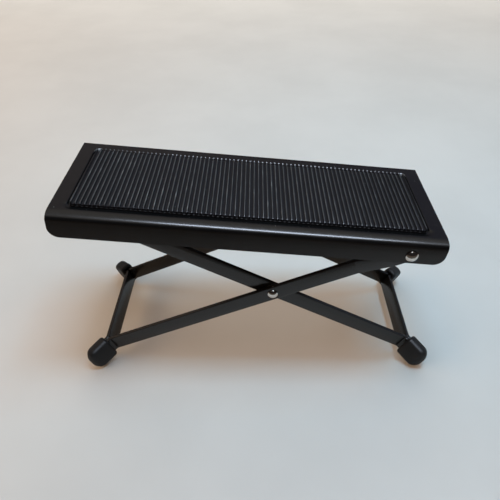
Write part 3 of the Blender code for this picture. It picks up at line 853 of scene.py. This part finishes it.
def buildFoot(name, node, frameLook, ySide, material):
    look, strip = footLook, stripLook
    innerY = (earSpacing + strip["thickness"]) / 2 + look["gap"]
    innerZ = strip["width"] / 2 + look["gap"]
    crown, corner = look["crown"], look["cornerRadius"]
    halfY, halfZ = innerY + look["sideWall"] - crown, innerZ + look["edgeWall"] - crown
    length, dome = look["length"], look["dome"]
    loops = []
    for angle in angleSteps(count=14, start=look["domeFrom"]):
        x = length - dome + dome * cos(angle) ** (2 / look["domePower"])
        shareY, shareZ = (sin(angle) ** (2 / look[power]) for power in ("thinPower", "domePower"))
        softer = corner + (halfY - corner) * (1 - shareZ) * look["domeSoft"]
        loops.append(footRing(x, halfY * shareY, halfZ * shareZ, softer, crown * shareZ))
    straight, mouth = length - dome, look["mouthRound"]
    for share in (0.25, 0.5, 0.75, 1):
        loops.append(footRing(straight + (mouth - straight) * share, halfY, halfZ, corner, crown))
    for angle in angleSteps(count=8)[1:]:
        inset = 1 - cos(angle)
        insetY, insetZ = look["mouthRoundSide"] * inset, mouth * inset
        loops.append(footRing(mouth * (1 - sin(angle)), halfY - insetY, halfZ - insetZ, corner, crown))
    depth = length - look["endWall"]
    sideways, upwards, lipCorner = look["lip"]
    lipStart, lipEnd = look["lipDepth"]
    loops.append(footRing(lipStart, innerY + sideways, innerZ + upwards, lipCorner))
    boreCorner = look["boreCorner"]
    for x in (lipEnd, depth / 2, depth - innerY):
        loops.append(footRing(x, innerY, innerZ, boreCorner))
    for angle in angleSteps(count=5, end=look["boreRound"])[1:]:
        inset = innerY * (1 - cos(angle))
        x = depth - innerY * (1 - sin(angle))
        loops.append(footRing(x, innerY - inset, innerZ, boreCorner * cos(angle)))
    mesh = worked(skinMesh(name, loops), weighted)
    side = frameLook["footSide"]
    middle = frameLook["faceAtCross"] - strip["thickness"] / 2
    bend = Vector((side * frameLook["footReach"], ySide * middle, 0))
    ear = Vector((side, ySide, 0)).normalized()
    opening = bend + ear * (strip["earLength"] + look["gap"] + look["endWall"] - length)
    turned = Matrix.Rotation(atan2(ear.y, ear.x), 4, "Z")
    place = frameLook["place"] @ Matrix.Translation(opening - Vector((0, 0, look["sag"]))) @ turned
    addPiece(name, mesh, material, place, frameLook["body"], [node])


rivetLook = {
    "hinge": {"radius": 0.0043, "height": 0.0019, "rim": 0.0001},
    "cross": {"radius": 0.00375, "height": 0.0018, "rim": 0.0003},
    "rimLift": 0.25,  # the rim's centre over the seat, in rim radii
    "rimUnder": -14,  # degrees: it ends under its widest point
    "seat": 0.985,  # its radius over that of the rim's lower end
    "shank": 0.0025,
    "tailRadius": 0.0036,
    "tailHeight": 0.0012,
    # as shares of the tail's radius and height
    "tailShape": [(0.93, 0), (1, 0.35), (0.80, 0.95), (0.62, 1), (0.45, 0.72), (0.006, 0.62)],
}


def domeProfile(radius, height, rim):
    # over a round cap and a tighter rim down to the seat
    look = rivetLook
    reach, lift = radius - rim, rim * look["rimLift"]
    rise = height - lift
    cap = (reach**2 + rise**2 - rim**2) / (2 * (rise - rim))  # meets the rim without a crease
    meet = atan2(lift - height + cap, reach)
    points = arcPoints((0, height - cap), cap, quarterTurn, meet, step=2.5)
    points += arcPoints((reach, lift), rim, meet, radians(look["rimUnder"]), step=8)[1:]
    profile = [(max(point.x, pinhole), point.y) for point in points]
    return profile + [(profile[-1][0] * look["seat"], 0)]


def buildRivet(name, node, sizes, material, body):
    look = rivetLook
    low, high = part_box(node)
    centre = (low + high) / 2
    side = -1 if centre.y < 0 else 1
    head, tailHeight = sizes["height"], look["tailHeight"]
    tail = -(high.y - low.y - head - tailHeight)
    profile = domeProfile(sizes["radius"], head, sizes["rim"])
    profile += [(look["shank"], 0), (look["shank"], tail)]
    profile += [(look["tailRadius"] * wide, tail - tailHeight * deep) for wide, deep in look["tailShape"]]
    mesh = worked(turnedMesh(name, profile, segments=72))
    seat = (low.y if side < 0 else high.y) - side * head
    turned = Matrix.Rotation(-side * quarterTurn, 4, "X")
    place = Matrix.Translation((centre.x, seat, centre.z)) @ turned
    addPiece(name, mesh, material, place, body, [node])


washerLook = {"bore": holeRadius, "edge": 0.00012}


def buildWasher(name, node, material, body):
    low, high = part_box(node)
    half, radius = (high.y - low.y) / 2, (high.x - low.x) / 2
    bore, edge = washerLook["bore"], washerLook["edge"]
    profile = [(bore, edge - half), (bore + edge, -half), (radius - edge, -half), (radius, edge - half)]
    profile += [(wide, -height) for wide, height in reversed(profile)] + profile[:1]
    mesh = worked(turnedMesh(name, profile, ends=False))
    place = Matrix.Translation((low + high) / 2) @ Matrix.Rotation(quarterTurn, 4, "X")
    addPiece(name, mesh, material, place, body, [node])


rodLook = {
    "radius": 0.0025,
    "chamfer": 0.0003,
    "shoulder": 0.03635,
    "spigot": 0.0019,
    "peen": 0.0002,
    "peenShape": [(0.6, 0.2), (0.92, 1), (1, 2)],  # shares of spigot and peen
}


def buildRod(material):
    look = rodLook
    low, high = boxIn(innerPlace, "rest_rod")
    radius, shoulder, spigot = look["radius"], look["shoulder"], look["spigot"]
    half = [(pinhole, high.y)]
    half += [(spigot * wide, high.y - look["peen"] * deep) for wide, deep in look["peenShape"]]
    half += [
        (spigot, shoulder), (radius - look["chamfer"], shoulder), (radius, shoulder - look["chamfer"]),
        (radius, shoulder / 2),
    ]
    profile = half + [(radius, 0)] + [(wide, -height) for wide, height in reversed(half)]
    mesh = worked(turnedMesh("restRod", profile))
    place = innerPlace @ Matrix.Translation((low + high) / 2) @ Matrix.Rotation(quarterTurn, 4, "X")
    addPiece("restRod", mesh, material, place, "inner_legs", ["rest_rod"])


rackLook = {
    "notches": 4,
    "pitch": 0.0067,
    "depth": 0.0025,
    "radius": 0.0028,
    "firstNotch": 0.2032,  # from the plate's hinge
    "edgeRound": 0.0003,
}


def buildRack(name, node, material):
    look = rackLook
    low, high = boxIn(platePlace, node)
    tips, top, radius = low.z, high.z, look["radius"]
    outline = [Vector((high.x, tips)), Vector((high.x, top)), Vector((low.x, top)), Vector((low.x, tips))]
    reach = asin((radius - look["depth"]) / radius)
    for index in reversed(range(look["notches"])):
        centre = (-look["firstNotch"] - index * look["pitch"], tips + look["depth"] - radius)
        outline += arcPoints(centre, radius, pi - reach, reach, step=10)
    loops = [[Vector((point.x, y, point.y)) for point in outline] for y in (low.y, high.y)]
    edges = ("BEVEL", {
        "width": look["edgeRound"], "segments": 3, "limit_method": "ANGLE", "angle_limit": radians(40),
    })
    mesh = worked(skinMesh(name, loops), edges, weighted)
    addPiece(name, mesh, material, platePlace, "deck", [node])


weldLook = {
    "length": 0.011,
    "leg": 0.0021,  # its reach along the rack and the plate
    "root": 0.0002,  # how far it goes into both
    "bulge": 0.35,  # beyond the straight line between them
    "ripple": 0.0016,  # from one solidified drop to the next
    "rippleDepth": 0.10,
    "waver": 0.05,
    "waverRate": 900.0,  # radians per metre
    "blunt": 5,  # more is blunter ends
    "places": (0.12, 0.5, 0.88),  # shares of the rack's length
    "steps": 44,
}


def weldMesh(name, seed):
    # a fillet of drops along X in the corner between Y and Z, smaller at its ends
    look = weldLook
    loops = []
    for index in range(look["steps"] + 1):
        share = index / look["steps"]
        x = (share - 0.5) * look["length"]
        ends = sqrt(max(0.02, 1 - abs(2 * share - 1) ** look["blunt"]))
        drop = abs(sin(pi * x / look["ripple"] + seed))
        leg = look["leg"] * ends * (1 - look["rippleDepth"] * (1 - drop))
        leg *= 1 + look["waver"] * sin(look["waverRate"] * x + 3 * seed)
        loop = [Vector((x, -look["root"], -look["root"]))]
        for angle in angleSteps(count=8):
            straight = 1 / (cos(angle) + sin(angle))
            radius = leg * (straight + (1 - straight) * look["bulge"])
            loop.append(Vector((x, radius * cos(angle), radius * sin(angle))))
        loops.append(loop)
    return skinMesh(name, loops)


def buildWelds(name, node, ySide, material):
    # three short beads on each side of a rack, in the corner under the plate
    low, high = boxIn(platePlace, node)
    mesh = bpy.data.meshes.new(name)
    shape = bmesh.new()
    for number, share in enumerate(weldLook["places"]):
        for face, y in ((-1, low.y), (1, high.y)):
            bead = weldMesh(name, 1.7 * number + face + ySide)  # so that no two beads are alike
            bead.transform(Matrix.Diagonal((1, face, -1, 1)))
            bead.transform(Matrix.Translation((low.x + (high.x - low.x) * share, y, high.z)))
            shape.from_mesh(bead)
            bpy.data.meshes.remove(bead)
    bmesh.ops.recalc_face_normals(shape, faces=shape.faces)
    shape.to_mesh(mesh)
    shape.free()
    addPiece(name, worked(mesh), material, platePlace, "deck")


cameraLook = {
    "place": (-0.0027, -0.303747, 0.329688),
    "pitchDown": 39.557,  # degrees
    "yaw": 0.639,
    "focalShare": 0.98767,  # focal length over the sensor's width
    "sensor": 36.0,
}


def addCamera():
    look = cameraLook
    data = bpy.data.cameras.new("camera")
    data.sensor_width = look["sensor"]
    data.lens = look["sensor"] * look["focalShare"]
    data.clip_start = 0.01
    camera = added("camera", data)
    camera.location = look["place"]
    camera.rotation_euler = (radians(90 - look["pitchDown"]), 0, radians(look["yaw"]))
    bpy.context.scene.camera = camera


tableLook = {
    "reach": 4.0,
    "pale": (0.66, 0.66, 0.655),
    "mottled": (0.61, 0.61, 0.605),
    "cloud": 5.0,
    "roughness": 0.55,
    "roughnessSpread": 0.1,
    "pores": 700.0,
    "poreBump": (0.05, 0.0001),
}
# the dark card's colours are painted shade on the table in front, seen in reflections
cardLook = {
    "rearEdge": -0.19,
    "height": 0.0008,
    "pale": (0.13, 0.115, 0.10),
    "mottled": (0.11, 0.10, 0.09),
    "cloud": 3.0,
}


def levelSheet(name, rearEdge, height, fixed, paint):
    reach = tableLook["reach"]
    corners = [(-reach, -reach), (reach, -reach), (reach, rearEdge), (-reach, rearEdge)]
    mesh = meshOf(name, [(x, y, height) for x, y in corners], [(0, 1, 2, 3)])
    mesh.materials.append(madeMaterial(name, fixed, paint))
    return added(name, mesh)


def paintCard(place):
    return [place.grain(cardLook["cloud"]).between(cardLook["pale"], cardLook["mottled"])]


def addCard():
    # a dark card on the table beside the camera: painted shade that stands in for the shaded table in
    # front, and only reflections see it
    fixed = {"Roughness": 0.9, "Specular IOR Level": 0.0}
    card = levelSheet("paintedShadeCard", cardLook["rearEdge"], cardLook["height"], fixed, paintCard)
    card.visible_camera = card.visible_diffuse = card.visible_shadow = card.visible_transmission = False


def paintTable(place):
    look = tableLook
    cloud = place.grain(look["cloud"], 4.0, 0.55)
    pores = place.grain(look["pores"], 2.0, 0.5)
    colour = cloud.ease(0.3, 0.7).between(look["pale"], look["mottled"])
    roughness = look["roughness"] + cloud * look["roughnessSpread"]
    return colour, roughness, pores.bump(*look["poreBump"])


def addTable():
    table = levelSheet("tabletop", tableLook["reach"], 0, {"Specular IOR Level": 0.35}, paintTable)


# Panels of soft light: where each stands and looks to, its width and height, and its radiance
panelLook = {
    "skylight": ((0.10, 0, 1.05), (0.10, 0, 0), (0.42, 0.22), (8.3, 13.1, 16.7)),
    "skyEdge": ((0.36, 0.12, 1.05), (0.36, 0.12, 0), (0.30, 0.42), (1.2, 4.7, 6.7)),
    "leftWall": ((-1.6, -0.4, 0.5), (0, -0.4, 0.5), (2.0, 0.9), (4.7, 3.15, 1.8)),
    "backWall": ((0, 1.4, 0.6), (0, 0, 0.6), (2.6, 1.1), (1.9, 1.95, 1.85)),
    "window": ((0.19, -0.19, 1.05), (0.19, -0.19, 0), (0.60, 0.40), (17.5, 20.1, 24.1)),
}
mirroredPanels = ["window"]  # in place of the others reflections see the room
roomLook = {
    "bounce": (0.34, 0.235, 0.18),  # light from everywhere
    "ceiling": (0.55, 0.50, 0.44),  # overhead, in reflections
    "ceilingFrom": (0.69, 0.80),  # upward part of a direction
    "front": (0.016, 0.014, 0.014),  # on the photographer's side
    "frontUpTo": (0.10, 0.45),  # upward part likewise
    "frontBackTo": (-0.1, 0.45),  # and rearward part
    "back": [  # and behind the footrest, from left to right
        (0.08, (0.75, 0.58, 0.46)),
        (0.30, (0.26, 0.22, 0.21)),
        (0.74, (0.12, 0.115, 0.16)),
        (0.92, (0.60, 0.70, 0.90)),
    ],
}


def addLights():
    for name, (place, aim, size, glow) in panelLook.items():
        peak = max(glow)
        data = bpy.data.lights.new(name, "AREA")
        data.shape = "RECTANGLE"
        data.size, data.size_y = size
        data.energy = pi * size[0] * size[1] * peak
        data.color = [part / peak for part in glow]
        light = added(name, data)
        light.location = place
        light.rotation_euler = (Vector(aim) - Vector(place)).to_track_quat("-Z", "Y").to_euler()
        light.visible_camera = False
        light.visible_glossy = name in mirroredPanels
        light.visible_diffuse = name not in mirroredPanels


def addRoom():
    look = roomLook
    world = bpy.data.worlds.new("room")
    world.use_nodes = True
    bench = Wire(world.node_tree)
    direction = bench.node("ShaderNodeTexCoord", output="Generated")
    across = (direction.part(0) + 1) * 0.5
    behind = across.node("ShaderNodeValToRGB", {"stops": look["back"]}, {"Fac": across})
    behind = direction.part(2).ease(*look["frontUpTo"]).between(look["front"], behind)
    mirrored = direction.part(1).ease(*look["frontBackTo"]).between(look["front"], behind)
    mirrored = direction.part(2).ease(*look["ceilingFrom"]).between(mirrored, look["ceiling"])
    glossy = bench.node("ShaderNodeLightPath", output="Is Glossy Ray")
    background = world.node_tree.nodes["Background"].inputs["Color"]
    bench.feed(background, glossy.between(look["bounce"], mirrored))
    bpy.context.scene.world = world
    bpy.context.scene.view_settings.view_transform = "Standard"


addCamera()
addTable()
addCard()
addLights()
addRoom()
print("stage, camera and lights are set")

powder = madeMaterial("powderCoat", {"Specular IOR Level": 0.48}, paintCoat)
tread = madeMaterial("ribbedRubber", {"Specular IOR Level": 0.30}, paintPad)
rubber = madeMaterial("feetRubber", {"Specular IOR Level": 0.36}, paintFeet)
nickel = madeMaterial("nickelPlate", {"Metallic": 1.0}, paintNickel)
zinc = madeMaterial("zincPlate", {"Metallic": 1.0}, paintZinc)
nylon = madeMaterial("nylon", {"Subsurface Weight": 0.15, "Subsurface Scale": 0.001}, paintNylon)
print("materials are made")

buildPlate(powder)
buildPad(tread)
for label, side in sides.items():
    buildRack(f"rack.{label}", f"height_rack_{label}", powder)
    buildWelds(f"rackWelds.{label}", f"height_rack_{label}", side, powder)
print("plate, pad, racks and welds are built")

buildFrame("outerFrame", "outer_leg_frame", outerLook, powder)
buildFrame("innerFrame", "inner_leg_frame", innerLook, powder)
for label, side in sides.items():
    buildFoot(f"footLeft.{label}", f"foot_cap_left_{label}", outerLook, side, rubber)
    buildFoot(f"footRight.{label}", f"foot_cap_right_{label}", innerLook, side, rubber)
print("leg frames and feet are built")

for label in sides:
    buildRivet(f"hingeRivet.{label}", f"hinge_rivet_{label}", rivetLook["hinge"], nickel, "hinge_rivets")
    buildRivet(f"crossRivet.{label}", f"cross_rivet_{label}", rivetLook["cross"], nickel, "outer_legs")
    buildWasher(f"hingeWasher.{label}", f"hinge_washer_{label}", nylon, "hinge_rivets")
    buildWasher(f"crossWasher.{label}", f"cross_washer_{label}", nylon, "outer_legs")
buildRod(zinc)
print("rivets, washers and rod are built")
